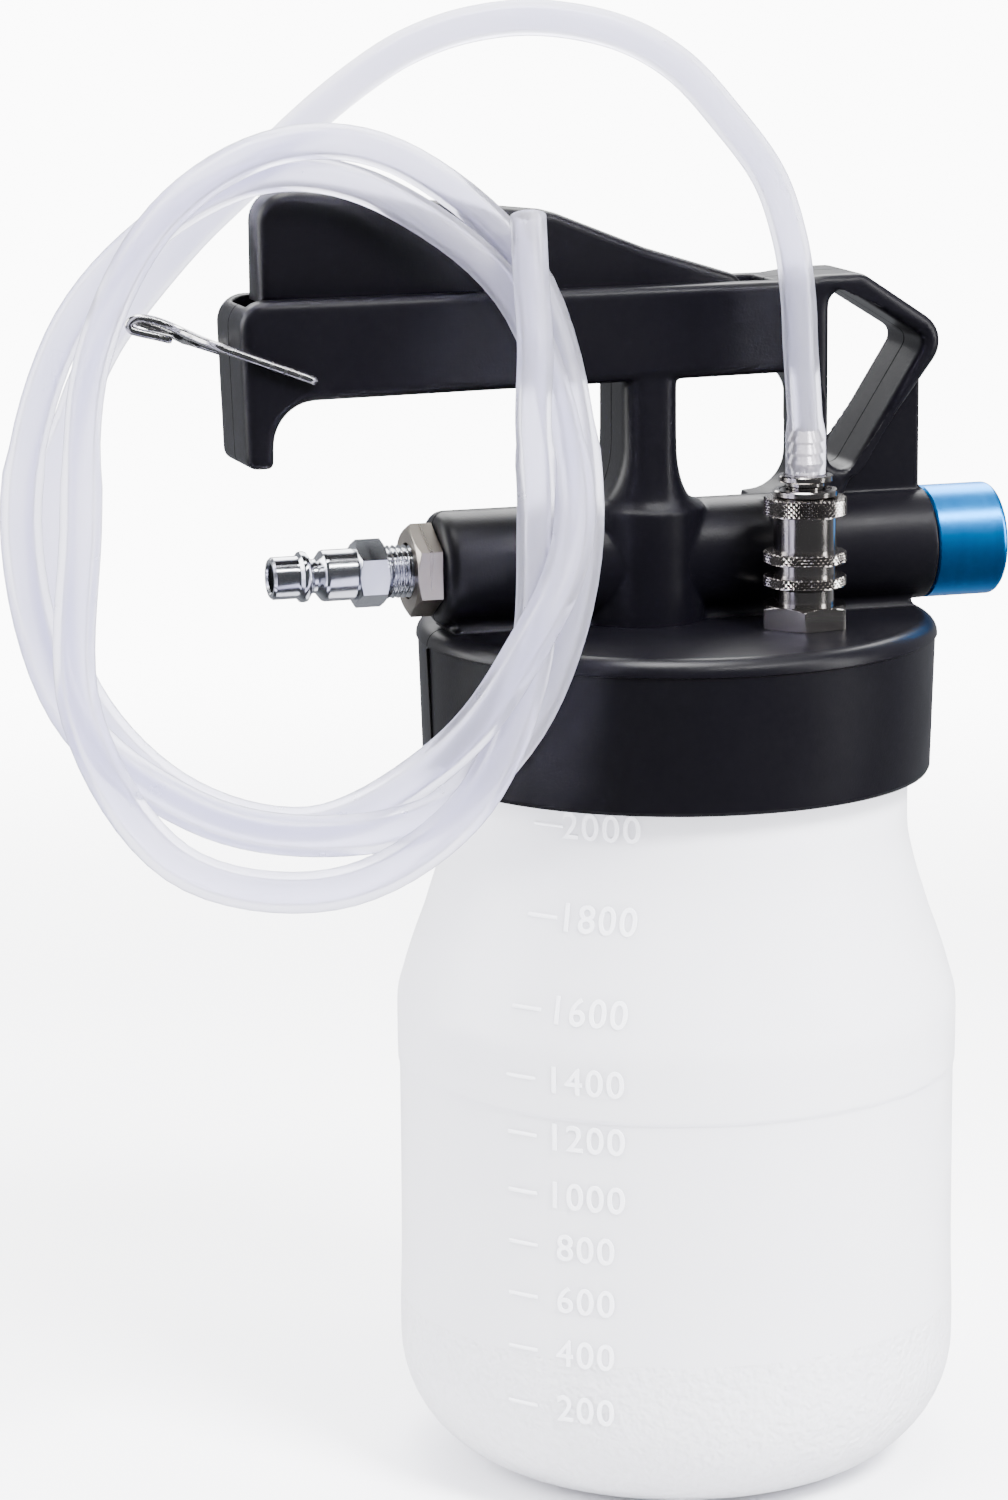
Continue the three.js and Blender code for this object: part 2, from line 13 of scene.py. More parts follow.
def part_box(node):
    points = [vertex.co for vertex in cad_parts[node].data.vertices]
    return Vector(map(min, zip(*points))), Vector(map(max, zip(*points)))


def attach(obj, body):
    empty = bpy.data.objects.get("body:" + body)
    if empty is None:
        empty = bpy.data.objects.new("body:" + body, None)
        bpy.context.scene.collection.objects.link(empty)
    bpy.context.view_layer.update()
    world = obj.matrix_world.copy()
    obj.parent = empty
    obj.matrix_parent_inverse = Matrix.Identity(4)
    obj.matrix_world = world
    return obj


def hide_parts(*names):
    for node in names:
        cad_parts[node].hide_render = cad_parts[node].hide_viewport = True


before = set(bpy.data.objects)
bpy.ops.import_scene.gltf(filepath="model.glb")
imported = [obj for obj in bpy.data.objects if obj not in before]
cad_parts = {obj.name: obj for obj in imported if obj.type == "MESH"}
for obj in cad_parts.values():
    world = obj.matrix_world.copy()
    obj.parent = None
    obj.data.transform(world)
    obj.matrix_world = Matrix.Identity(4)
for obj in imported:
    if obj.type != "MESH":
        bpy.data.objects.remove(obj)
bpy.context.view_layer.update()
MM = 0.001

# ---- places taken from the frame, in millimetres --------------------------------------------


def node_box(node):
    low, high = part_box(node)
    return low / MM, high / MM


BOTTLE_HIGH = node_box("bottle")[1]
HEAD_LOW = node_box("head_body")[0]
SHELL_LOW, SHELL_HIGH = node_box("muffler_shell")
NIPPLE_LOW = node_box("inlet_nipple")[0]
SLEEVE_LOW, SLEEVE_HIGH = node_box("coupler_sleeve")
AXIS_Z = (SHELL_LOW.z + SHELL_HIGH.z) / 2
COUPLER = ((SLEEVE_LOW.x + SLEEVE_HIGH.x) / 2, (SLEEVE_LOW.y + SLEEVE_HIGH.y) / 2)
LID_FOOT = HEAD_LOW.z
LID_TOP = LID_FOOT + 37.8
VALVE_X = -10.0  # the valve chamber and the post above it
GRIP_HALF = 13.0  # half the handle's width
PIN = (13.5, 289.0)  # the lever's pivot, x and z
PIN_R = 1.45

# ---- camera, floor and light ----------------------------------------------------------------
# metres, and the light's strengths
CAMERA_AT = Vector((-0.3997, -1.1127, 0.4217))
CAMERA_TURN = math.radians(17.68)
CAMERA_DIP = math.radians(11.506)
CAMERA_ROLL = math.radians(0.384)
CAMERA_LENS = 116.04
ROOM_LIGHT = 1.9  # on surfaces
ROOM_MIRRORED = 0.1  # in reflections toward the camera's side
BACKDROP_MIRRORED = 0.5  # in reflections toward the far side
ROOM_THROUGH = 0.38  # share of ROOM_SEEN that shows through the hose
ROOM_SEEN = 11.0  # behind the object
FLOOR_R = 1.2


def camera():
    flat = Vector((math.sin(CAMERA_TURN), math.cos(CAMERA_TURN), 0))
    ahead = flat * math.cos(CAMERA_DIP) - Vector((0, 0, math.sin(CAMERA_DIP)))
    right = Vector((math.cos(CAMERA_TURN), -math.sin(CAMERA_TURN), 0))
    up = right.cross(ahead)
    right, up = (
        right * math.cos(CAMERA_ROLL) - up * math.sin(CAMERA_ROLL),
        right * math.sin(CAMERA_ROLL) + up * math.cos(CAMERA_ROLL),
    )
    data = bpy.data.cameras.new("camera")
    data.lens = CAMERA_LENS
    data.clip_end = 50
    obj = bpy.data.objects.new("camera", data)
    bpy.context.scene.collection.objects.link(obj)
    turn = Matrix((right, up, -ahead)).transposed().to_4x4()
    obj.matrix_world = Matrix.Translation(CAMERA_AT) @ turn
    bpy.context.scene.camera = obj


def area_light(name, at, aim, size, power, mirrored=True):
    data = bpy.data.lights.new(name, "AREA")
    data.shape = "RECTANGLE"
    data.size, data.size_y = size
    data.energy = power
    obj = bpy.data.objects.new(name, data)
    bpy.context.scene.collection.objects.link(obj)
    obj.location = at
    obj.rotation_euler = (Vector(aim) - Vector(at)).to_track_quat("-Z", "Y").to_euler()
    obj.visible_glossy = mirrored


def studio():
    """Soft light from all round, with a darker room for what the shiny parts reflect."""
    world = bpy.data.worlds.new("studio")
    bpy.context.scene.world = world
    world.use_nodes = True
    nodes, links = world.node_tree.nodes, world.node_tree.links
    room = nodes["Background"]
    room.inputs["Color"].default_value = (0.95, 0.95, 1.0, 1)
    room.inputs["Strength"].default_value = ROOM_LIGHT
    mirrored = nodes.new("ShaderNodeBackground")
    mirrored.inputs["Color"].default_value = (0.9, 0.93, 1.0, 1)
    way = nodes.new("ShaderNodeTexCoord")
    behind = nodes.new("ShaderNodeVectorMath")
    behind.operation = "DOT_PRODUCT"
    behind.inputs[1].default_value = (math.sin(CAMERA_TURN), math.cos(CAMERA_TURN), 0)
    brighten = nodes.new("ShaderNodeMapRange")
    brighten.interpolation_type = "SMOOTHSTEP"
    brighten.inputs["From Min"].default_value = 0.0
    brighten.inputs["From Max"].default_value = 0.75
    brighten.inputs["To Min"].default_value = ROOM_MIRRORED
    brighten.inputs["To Max"].default_value = BACKDROP_MIRRORED
    links.new(way.outputs["Generated"], behind.inputs[0])
    links.new(behind.outputs["Value"], brighten.inputs["Value"])
    links.new(brighten.outputs["Result"], mirrored.inputs["Strength"])
    seen = nodes.new("ShaderNodeBackground")
    seen.inputs["Strength"].default_value = ROOM_SEEN
    seen.inputs["Color"].default_value = (1, 1, 1, 1)
    path = nodes.new("ShaderNodeLightPath")
    through = nodes.new("ShaderNodeMath")
    through.operation = "MULTIPLY_ADD"
    links.new(path.outputs["Is Transmission Ray"], through.inputs[0])
    through.inputs[1].default_value = ROOM_THROUGH
    links.new(path.outputs["Is Camera Ray"], through.inputs[2])
    shiny = nodes.new("ShaderNodeMixShader")
    links.new(path.outputs["Is Glossy Ray"], shiny.inputs["Fac"])
    links.new(room.outputs["Background"], shiny.inputs[1])
    links.new(mirrored.outputs["Background"], shiny.inputs[2])
    mix = nodes.new("ShaderNodeMixShader")
    links.new(through.outputs["Value"], mix.inputs["Fac"])
    links.new(shiny.outputs["Shader"], mix.inputs[1])
    links.new(seen.outputs["Background"], mix.inputs[2])
    links.new(mix.outputs["Shader"], nodes["World Output"].inputs["Surface"])
    area_light("soft_front", (0.45, -1.1, 1.35), (0, 0, 0.15), (0.5, 0.4), 105, mirrored=False)
    area_light("left", (-1.15, 0.4, 0.6), (0, 0, 0.18), (0.8, 1.1), 32)
    area_light("high_front", (0.5, -0.8, 1.35), (0, 0, 0.25), (1.1, 0.12), 17)
    area_light("right", (1.15, -0.75, 0.6), (0, 0, 0.18), (0.3, 1.1), 16)
    area_light("back", (0.2, 1.0, 1.1), (0, 0, 0.25), (1.4, 0.8), 32)
    area_light("top", (-0.1, 0.0, 1.5), (0, 0, 0.2), (0.8, 0.6), 42)


def floor():
    """A pale round floor whose edge fades into the white room."""
    count = 96
    rim = [(FLOOR_R * math.cos(math.tau * k / count), FLOOR_R * math.sin(math.tau * k / count), 0)
           for k in range(count)]
    mesh = bpy.data.meshes.new("floor")
    mesh.from_pydata(rim, [], [tuple(range(count))])
    obj = bpy.data.objects.new("floor", mesh)
    bpy.context.scene.collection.objects.link(obj)
    look = Look("floor_paint", (0.93, 0.93, 0.94), 0.85)
    look.vary_colour(3.0, 0.01)
    distance = look.nodes.new("ShaderNodeVectorMath")
    distance.operation = "LENGTH"
    look.links.new(look.place, distance.inputs[0])
    fade = look.nodes.new("ShaderNodeMapRange")
    fade.interpolation_type = "SMOOTHSTEP"
    fade.inputs["From Min"].default_value = FLOOR_R * 0.4
    fade.inputs["From Max"].default_value = FLOOR_R * 0.95
    fade.inputs["To Min"].default_value = 1.0
    fade.inputs["To Max"].default_value = 0.0
    look.links.new(distance.outputs["Value"], fade.inputs["Value"])
    look.links.new(fade.outputs["Result"], look.shader.inputs["Alpha"])
    mesh.materials.append(look.material)
    obj.visible_glossy = False


# ---- materials ------------------------------------------------------------------------------
class Look:
    """A Principled material with helpers for procedural colour, roughness and relief."""

    def __init__(self, name, base, rough, metal=0.0, **sockets):
        self.material = bpy.data.materials.new(name)
        self.material.use_nodes = True
        self.nodes = self.material.node_tree.nodes
        self.links = self.material.node_tree.links
        self.shader = self.nodes["Principled BSDF"]
        self.base = base
        self.rough = rough
        self.set("Base Color", (*base, 1))
        self.set("Roughness", rough)
        self.set("Metallic", metal)
        for socket, value in sockets.items():
            self.set(socket.replace("_", " "), value)
        self.place = self.nodes.new("ShaderNodeTexCoord").outputs["Object"]
        self.height = None

    def set(self, socket, value):
        self.shader.inputs[socket].default_value = value

    def noise(self, scale, detail=3.0, squash=None):
        node = self.nodes.new("ShaderNodeTexNoise")
        node.inputs["Scale"].default_value = scale
        node.inputs["Detail"].default_value = detail
        source = self.place
        if squash:
            mapping = self.nodes.new("ShaderNodeMapping")
            mapping.inputs["Scale"].default_value = squash
            self.links.new(source, mapping.inputs["Vector"])
            source = mapping.outputs["Vector"]
        self.links.new(source, node.inputs["Vector"])
        return node.outputs["Fac"]

    def spread(self, value, low, high):
        node = self.nodes.new("ShaderNodeMapRange")
        node.inputs["From Min"].default_value = 0.3
        node.inputs["From Max"].default_value = 0.7
        node.inputs["To Min"].default_value = low
        node.inputs["To Max"].default_value = high
        self.links.new(value, node.inputs["Value"])
        return node.outputs["Result"]

    def sum(self, first, second, operation="ADD"):
        node = self.nodes.new("ShaderNodeMath")
        node.operation = operation
        for socket, value in zip(node.inputs, (first, second)):
            if isinstance(value, (int, float)):
                socket.default_value = value
            else:
                self.links.new(value, socket)
        return node.outputs["Value"]

    def mix_colour(self, factor, first, second):
        node = self.nodes.new("ShaderNodeMix")
        node.data_type = "RGBA"
        for key, value in (("A", first), ("B", second)):
            socket = [s for s in node.inputs if s.name == key and s.type == "RGBA"][0]
            if isinstance(value, tuple):
                socket.default_value = (*value, 1)
            else:
                self.links.new(value, socket)
        self.links.new(factor, node.inputs["Factor"])
        return [s for s in node.outputs if s.type == "RGBA"][0]

    def vary_colour(self, scale, amount, tint=None):
        other = tint or tuple(min(1.0, c * (1 + 6 * amount) + amount) for c in self.base)
        factor = self.spread(self.noise(scale, 4.0), 0.0, 1.0)
        if not tint:
            factor = self.sum(factor, 0.5, "MULTIPLY")
        colour = self.mix_colour(factor, self.base, other)
        self.links.new(colour, self.shader.inputs["Base Color"])
        return colour

    def vary_roughness(self, scale, amount, squash=None):
        uneven = self.noise(scale, 4.0, squash)
        value = self.spread(uneven, self.rough - amount, self.rough + amount)
        self.links.new(value, self.shader.inputs["Roughness"])
        return value

    def relief(self, height, depth):
        """Adds a height field whose full range is depth millimetres."""
        node = self.nodes.new("ShaderNodeBump")
        node.inputs["Strength"].default_value = 1.0
        node.inputs["Distance"].default_value = depth * MM
        self.links.new(height, node.inputs["Height"])
        if self.height is not None:
            self.links.new(self.height, node.inputs["Normal"])
        self.height = node.outputs["Normal"]
        self.links.new(self.height, self.shader.inputs["Normal"])

    def axis(self, name):
        node = self.nodes.new("ShaderNodeSeparateXYZ")
        self.links.new(self.place, node.inputs["Vector"])
        return node.outputs[name]

    def below(self, value, limit):
        return self.sum(value, limit, "LESS_THAN")


def moulded_plastic(name, base, rough, seam=False):
    look = Look(name, base, rough, Specular_IOR_Level=0.22)
    colour = look.vary_colour(60.0, 0.0004)
    satin = look.vary_roughness(45.0, 0.05)
    look.relief(look.noise(1700.0, 2.0), 0.03)
    look.relief(look.noise(90.0, 2.0), 0.02)
    if seam:
        across = look.sum(look.axis("Y"), 0.0, "ABSOLUTE")
        line = look.below(across, 0.3 * MM)
        # painted shade: the base colour along the parting line is darkened to stand for the shade
        # of its ridge; the raised relief and rougher finish below are the real ridge
        seam_painted_shade = look.mix_colour(line, colour, (0.0005, 0.0005, 0.0008))
        look.links.new(seam_painted_shade, look.shader.inputs["Base Color"])
        dull = look.sum(satin, look.sum(line, 0.6, "MULTIPLY"))
        look.links.new(dull, look.shader.inputs["Roughness"])
        look.relief(look.below(across, 0.45 * MM), 0.12)
    return look.material


def turned_metal(name, base, rough, squash, depth=0.0008):
    """Bright metal with fine tool marks; squash stretches them round the turned axis."""
    look = Look(name, base, rough, 1.0)
    look.vary_colour(140.0, 0.02)
    look.vary_roughness(260.0, rough * 0.2, squash)
    look.relief(look.noise(1400.0, 2.0, squash), depth)
    return look.material


def wire_metal(name, base, rough):
    look = Look(name, base, rough, 1.0)
    look.vary_colour(300.0, 0.03)
    look.vary_roughness(500.0, 0.06)
    look.relief(look.noise(900.0, 3.0), 0.001)
    return look.material


def rubber(name, base=(0.012, 0.012, 0.013)):
    look = Look(name, base, 0.7)
    look.vary_colour(200.0, 0.002)
    look.vary_roughness(300.0, 0.08)
    look.relief(look.noise(1500.0, 2.0), 0.02)
    return look.material


def mark_plastic():
    look = Look("raised_mark", (0.85, 0.85, 0.89), 0.4, Specular_IOR_Level=0.3)
    look.vary_colour(22.0, 0.01, (0.82, 0.82, 0.87))
    look.vary_roughness(70.0, 0.05)
    look.relief(look.noise(300.0, 2.0), 0.02)
    return look.material


def bottle_plastic():
    look = Look("bottle_polyethylene", (0.86, 0.86, 0.94), 0.36, Specular_IOR_Level=0.4)
    look.set("Subsurface Weight", 0.6)
    look.set("Subsurface Radius", (1.0, 1.0, 1.0))
    look.set("Subsurface Scale", 0.009)
    colour = look.vary_colour(22.0, 0.01, (0.82, 0.82, 0.91))
    look.vary_roughness(70.0, 0.05)
    look.relief(look.noise(35.0, 2.0), 0.12)
    low = look.below(look.axis("Z"), TEXTURE_TOP * MM)
    grain = look.sum(look.spread(look.noise(520.0, 1.0), 0.0, 1.0), low, "MULTIPLY")
    pitted = look.mix_colour(look.sum(grain, 0.5, "MULTIPLY"), colour, (0.74, 0.74, 0.79))
    look.links.new(pitted, look.shader.inputs["Base Color"])
    look.relief(grain, 0.4)
    return look.material


def hose_silicone():
    look = Look("hose_silicone", (0.7, 0.7, 0.82), 0.33, Specular_IOR_Level=0.5)
    look.set("Subsurface Weight", 0.6)
    look.set("Subsurface Radius", (1.0, 1.0, 1.0))
    look.set("Subsurface Scale", 0.004)
    look.set("Transmission Weight", 0.89)
    look.set("IOR", 1.16)
    look.vary_colour(30.0, 0.02, (0.77, 0.76, 0.86))
    look.vary_roughness(120.0, 0.06)
    look.relief(look.noise(160.0, 3.0), 0.05)
    return look.material


def blue_anodised():
    look = Look("blue_anodised", (0.0, 0.32, 0.98), 0.3, 1.0)
    look.vary_colour(90.0, 0.0, (0.0, 0.35, 1.0))
    look.vary_roughness(900.0, 0.02, (1.0, 0.02, 0.02))
    look.relief(look.noise(1800.0, 2.0, (1.0, 0.02, 0.02)), 0.0008)
    return look.material


def felt():
    look = Look("felt", (0.7, 0.67, 0.6), 0.95)
    look.vary_colour(500.0, 0.04)
    look.relief(look.noise(900.0, 4.0), 0.3)
    return look.material


# ---- mesh helpers ---------------------------------------------------------------------------
def link_mesh(name, verts, faces):
    mesh = bpy.data.meshes.new(name)
    mesh.from_pydata([tuple(c * MM for c in v) for v in verts], [], faces)
    work = bmesh.new()
    work.from_mesh(mesh)
    bmesh.ops.remove_doubles(work, verts=work.verts, dist=1e-7)
    bmesh.ops.recalc_face_normals(work, faces=work.faces)
    work.to_mesh(mesh)
    work.free()
    obj = bpy.data.objects.new(name, mesh)
    bpy.context.scene.collection.objects.link(obj)
    return obj


def finish_piece(obj, material, body, sharp=32.0, replaces=()):
    obj.data.materials.clear()
    obj.data.materials.append(material)
    if obj.type == "MESH":
        for face in obj.data.polygons:
            face.use_smooth = True
        obj.data.set_sharp_from_angle(angle=math.radians(sharp))
    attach(obj, body)
    if replaces:
        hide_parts(*replaces)
    return obj


def bake(obj):
    """Replaces obj's modifiers by their result."""
    graph = bpy.context.evaluated_depsgraph_get()
    mesh = bpy.data.meshes.new_from_object(obj.evaluated_get(graph))
    obj.modifiers.clear()
    obj.data = mesh
    return obj


def held(profile, closed):
    """Adds rings close to the ends of long straight stretches, so that they shade as straight."""
    points = []
    following = [*profile[1:], profile[0] if closed else profile[-1]]
    for (r0, h0), (r1, h1) in zip(profile, following):
        points.append((r0, h0))
        length = math.hypot(r1 - r0, h1 - h0)
        if length > 1.2:
            for t in (0.25 / length, 1 - 0.25 / length):
                points.append((r0 + (r1 - r0) * t, h0 + (h1 - h0) * t))
    return points


def revolve(name, profile, segments=96, at=(0, 0), lying=False, shape=None, soft=False):
    """A closed turned piece from a profile of (radius, height).

    shape(angle, height, radius) may reshape it. lying turns it about the housing's axis.
    soft leaves out the rings that keep long straight stretches shading as straight.
    """
    verts, faces = [], []
    closed = profile[0] != profile[-1] and not (profile[0][0] == 0 and profile[-1][0] == 0)
    if not shape and not soft:
        profile = held(profile, closed)
    for r, h in profile:
        for k in range(segments):
            a = math.tau * k / segments
            radius = shape(a, h, r) if shape else r
            point = (radius * math.cos(a), radius * math.sin(a), h)
            if lying:
                verts.append((point[2], point[1], AXIS_Z + point[0]))
            else:
                verts.append((at[0] + point[0], at[1] + point[1], point[2]))
    rows = len(profile)
    for i in range(rows if closed else rows - 1):
        j = (i + 1) % rows
        for k in range(segments):
            n = (k + 1) % segments
            faces.append((i * segments + k, i * segments + n, j * segments + n, j * segments + k))
    obj = link_mesh(name, verts, faces)
    work = bmesh.new()
    work.from_mesh(obj.data)
    bmesh.ops.dissolve_degenerate(work, dist=1e-7, edges=work.edges)
    work.to_mesh(obj.data)
    work.free()
    return obj


def arc(r0, h0, r1, h1, bulge=1, steps=6):
    """Quarter of an ellipse from (r0, h0) to (r1, h1).

    It leaves r0 upright where bulge is 1, and level where it is -1.
    """
    points = []
    for i in range(steps + 1):
        a = math.pi / 2 * i / steps
        if bulge > 0:
            points.append((r1 + (r0 - r1) * math.cos(a), h0 + (h1 - h0) * math.sin(a)))
        else:
            points.append((r0 + (r1 - r0) * math.sin(a), h1 + (h0 - h1) * math.cos(a)))
    return points


def outline(corners, steps=7):
    """A closed outline from (x, z, corner radius)."""
    points = []
    for i, (x, z, r) in enumerate(corners):
        here = Vector((x, z))
        if r == 0:
            points.append(here)
            continue
        before = (Vector(corners[i - 1][:2]) - here).normalized()
        after = (Vector(corners[(i + 1) % len(corners)][:2]) - here).normalized()
        half = before.angle(after) / 2
        centre = here + (before + after).normalized() * (r / math.sin(half))
        first = here + before * (r / math.tan(half)) - centre
        last = here + after * (r / math.tan(half)) - centre
        start = math.atan2(first.y, first.x)
        turn = math.atan2(last.y, last.x) - start
        turn = (turn + math.pi) % math.tau - math.pi
        for k in range(steps + 1):
            a = start + turn * k / steps
            points.append(centre + r * Vector((math.cos(a), math.sin(a))))
    return points


def slab(name, loops, thickness, edge):
    """A plate in the XZ plane with rounded edges; the loops after the first are holes."""
    curve = bpy.data.curves.new(name, "CURVE")
    curve.dimensions = "2D"
    curve.fill_mode = "BOTH"
    curve.extrude = (thickness / 2 - edge) * MM
    curve.bevel_depth = edge * MM
    curve.offset = -edge * MM
    curve.bevel_resolution = 3
    for loop in loops:
        spline = curve.splines.new("POLY")
        spline.points.add(len(loop) - 1)
        for point, place in zip(spline.points, loop):
            point.co = (place[0] * MM, place[1] * MM, 0, 1)
        spline.use_cyclic_u = True
    obj = bpy.data.objects.new(name, curve)
    bpy.context.scene.collection.objects.link(obj)
    graph = bpy.context.evaluated_depsgraph_get()
    mesh = bpy.data.meshes.new_from_object(obj.evaluated_get(graph))
    bpy.data.objects.remove(obj)
    mesh.transform(Matrix.Rotation(math.pi / 2, 4, "X"))
    work = bmesh.new()
    work.from_mesh(mesh)
    bmesh.ops.remove_doubles(work, verts=work.verts, dist=2e-6)
    bmesh.ops.recalc_face_normals(work, faces=work.faces)
    work.to_mesh(mesh)
    work.free()
    made = bpy.data.objects.new(name, mesh)
    bpy.context.scene.collection.objects.link(made)
    return made


def block(name, x, y, z):
    verts = [(a, b, c) for a in x for b in y for c in z]
    faces = [(0, 1, 3, 2), (4, 6, 7, 5), (0, 4, 5, 1), (2, 3, 7, 6), (0, 2, 6, 4), (1, 5, 7, 3)]
    return link_mesh(name, verts, faces)


def carve(obj, tool):
    modifier = obj.modifiers.new("carve", "BOOLEAN")
    modifier.operation = "DIFFERENCE"
    modifier.solver = "EXACT"
    modifier.object = tool
    bpy.context.view_layer.update()
    bake(obj)
    bpy.data.objects.remove(tool)
    return obj


def melt(name, parts, voxel, rounds):
    """One moulding from overlapping closed parts, with its inner corners softened."""
    work = bmesh.new()
    for part in parts:
        work.from_mesh(part.data)
        bpy.data.objects.remove(part)
    mesh = bpy.data.meshes.new(name)
    work.to_mesh(mesh)
    work.free()
    obj = bpy.data.objects.new(name, mesh)
    bpy.context.scene.collection.objects.link(obj)
    remesh = obj.modifiers.new("remesh", "REMESH")
    remesh.mode = "VOXEL"
    remesh.voxel_size = voxel * MM
    smooth = obj.modifiers.new("smooth", "SMOOTH")
    smooth.factor = 0.5
    smooth.iterations = rounds
    bpy.context.view_layer.update()
    return bake(obj)


def spline_points(points, per_span):
    """A Catmull-Rom line through points."""
    line = []
    last = len(points) - 1
    for i in range(last):
        p = [Vector(points[min(max(j, 0), last)]) for j in (i - 1, i, i + 1, i + 2)]
        for k in range(per_span):
            t = k / per_span
            squared = (2 * p[0] - 5 * p[1] + 4 * p[2] - p[3]) * t * t
            cubed = (3 * p[1] - p[0] - 3 * p[2] + p[3]) * t ** 3
            line.append(0.5 * (2 * p[1] + (p[2] - p[0]) * t + squared + cubed))
    line.append(Vector(points[last]))
    return line


def sweep(name, line, radius, sides, bore=0.0):
    """A round tube along a line of points, by a frame carried along it. radius may be a list."""
    count = len(line)
    radii = radius if isinstance(radius, list) else [radius] * count
    ahead = [(line[min(i + 1, count - 1)] - line[max(i - 1, 0)]).normalized() for i in range(count)]
    side = ahead[0].orthogonal().normalized()
    rings = []
    for i in range(count):
        side = (side - ahead[i] * side.dot(ahead[i])).normalized()
        rings.append((side.copy(), ahead[i].cross(side)))
    verts, faces = [], []

    def skin(scale, flip):
        start = len(verts)
        for i in range(count):
            u, v = rings[i]
            for k in range(sides):
                a = math.tau * k / sides
                verts.append(tuple(line[i] + (u * math.cos(a) + v * math.sin(a)) * scale(i)))
        for i in range(count - 1):
            for k in range(sides):
                n = (k + 1) % sides
                quad = (start + i * sides + k, start + i * sides + n,
                        start + (i + 1) * sides + n, start + (i + 1) * sides + k)
                faces.append(quad[::-1] if flip else quad)
        return start

    outer = skin(lambda i: radii[i], False)
    if bore:
        inner = skin(lambda i: bore, True)
        for ring in (0, (count - 1) * sides):
            for k in range(sides):
                n = (k + 1) % sides
                out, back = outer + ring, inner + ring
                faces.append((out + k, out + n, back + n, back + k))
    else:
        faces.append(tuple(range(outer + sides - 1, outer - 1, -1)))
        faces.append(tuple(range(outer + (count - 1) * sides, outer + count * sides)))
    return link_mesh(name, verts, faces)


# ---- hose: one free cord, from the barb over an arch into a loose coil -----------------------
HOSE_D = 8.6
HOSE_BORE = 2.7
BARB_SWELL = 0.65
BARB_TOP = 262.5
HOSE_ARCH = [
    (24, -26, 252.9), (24, -26, 262), (23.4, -26, 272), (22.6, -25.8, 284), (22, -25.6, 296),
    (20, -25, 310), (15, -23.6, 325), (5, -21.4, 339), (-6, -18, 351.4), (-20, -14.6, 359.4),
    (-38, -11, 363), (-54, -6, 361.6), (-68, -1.4, 356.6), (-80, 3, 348.6), (-93, 6.6, 337.6),
    (-107, 9, 324), (-120, 10, 312), (-134, 9, 297), (-143, 6, 286), (-151, 0, 272.5),
]
COIL_CENTRE = (-104.0, 250.0)
COIL_HALF = (58.0, 79.0)
KNOTS_PER_TURN = 12
# how far out the strand lies at each knot, starting at the coil's left side and going down
COIL_SWELL = [
    0.951, 1.0, 0.98, 0.941, 0.822, 0.8, 1.021, 1.135, 1.03, 0.99, 0.98, 1.05,
    1.11, 1.11, 0.99, 0.921, 0.971, 1.04, 1.142, 1.259, 1.16, 1.08, 1.02, 0.97,
    0.94, 1.1, 1.16, 1.079, 0.977, 0.906, 0.892,
]
# and how far in front of the handle's mid-plane it lies there
COIL_DEPTH = [
    6, 7, 15, 32.8, 56.5, 69, 54.8, 22.1, 12, 12, 12, 14,
    18, 25, 36, 50.8, 54.8, 53, 40.6, 16.1, 11, 18, 21, 28,
    37, 37.1, 38, 52.4, 64.6, 60.9, 50,
]
HOSE_END = [(-51.6, -45, 271), (-49.4, -40, 288), (-47.4, -31, 303), (-45.8, -24, 317.4)]


def hose_line():
    route = [Vector(p) for p in HOSE_ARCH]
    for i, (swell, depth) in enumerate(zip(COIL_SWELL, COIL_DEPTH)):
        a = math.pi + math.tau * i / KNOTS_PER_TURN
        x = COIL_CENTRE[0] + COIL_HALF[0] * swell * math.cos(a)
        z = COIL_CENTRE[1] + COIL_HALF[1] * swell * math.sin(a)
        route.append(Vector((x, -depth, z)))
    route += [Vector(p) for p in HOSE_END]
    return spline_points(route, 8)


def hose():
    line = hose_line()
    radii = [HOSE_D / 2 + BARB_SWELL * min(1, max(0, (BARB_TOP - p.z) / 4 + 1)) for p in line]
    tube = sweep("hose", line, radii, 20, HOSE_BORE)
    finish_piece(tube, LOOKS["hose"], "head", 60, ("hose_tube", "hose_coil"))


# ---- bottle ---------------------------------------------------------------------------------
TEXTURE_TOP = 43.2
NECK_R = 57.6
WALL = 1.7
FLOOR_HALF = 38.2  # radius of the flat part of the base
HEEL_OUT = 31.9
HEEL_UP = 31.8
THREAD_Z = 195.0
THREAD_LEAD = 12.0
THREAD_TURNS = 0.4
THREAD_WIRE_R = 1.1
BOTTLE_SIDE = [
    (70.1, 31.8), (70.1, 40), (69.9, 47), (69.7, 60), (69.7, 100.2), (70.1, 103.5), (70.2, 110),
    (70.2, 117), (69.9, 121.2), (68.5, 126.2), (67.0, 131.2), (65.2, 136.4), (63.4, 141.2),
    (61.8, 146.3), (60.2, 151.3), (58.9, 156.3), (57.9, 161), (57.6, 165),
]


def bottle_radius(z):
    if z < HEEL_UP:
        return FLOOR_HALF + HEEL_OUT * math.sqrt(1 - (1 - z / HEEL_UP) ** 2)
    for (r0, z0), (r1, z1) in zip(BOTTLE_SIDE, BOTTLE_SIDE[1:]):
        if z0 <= z <= z1:
            return r0 + (r1 - r0) * (z - z0) / (z1 - z0)
    return NECK_R


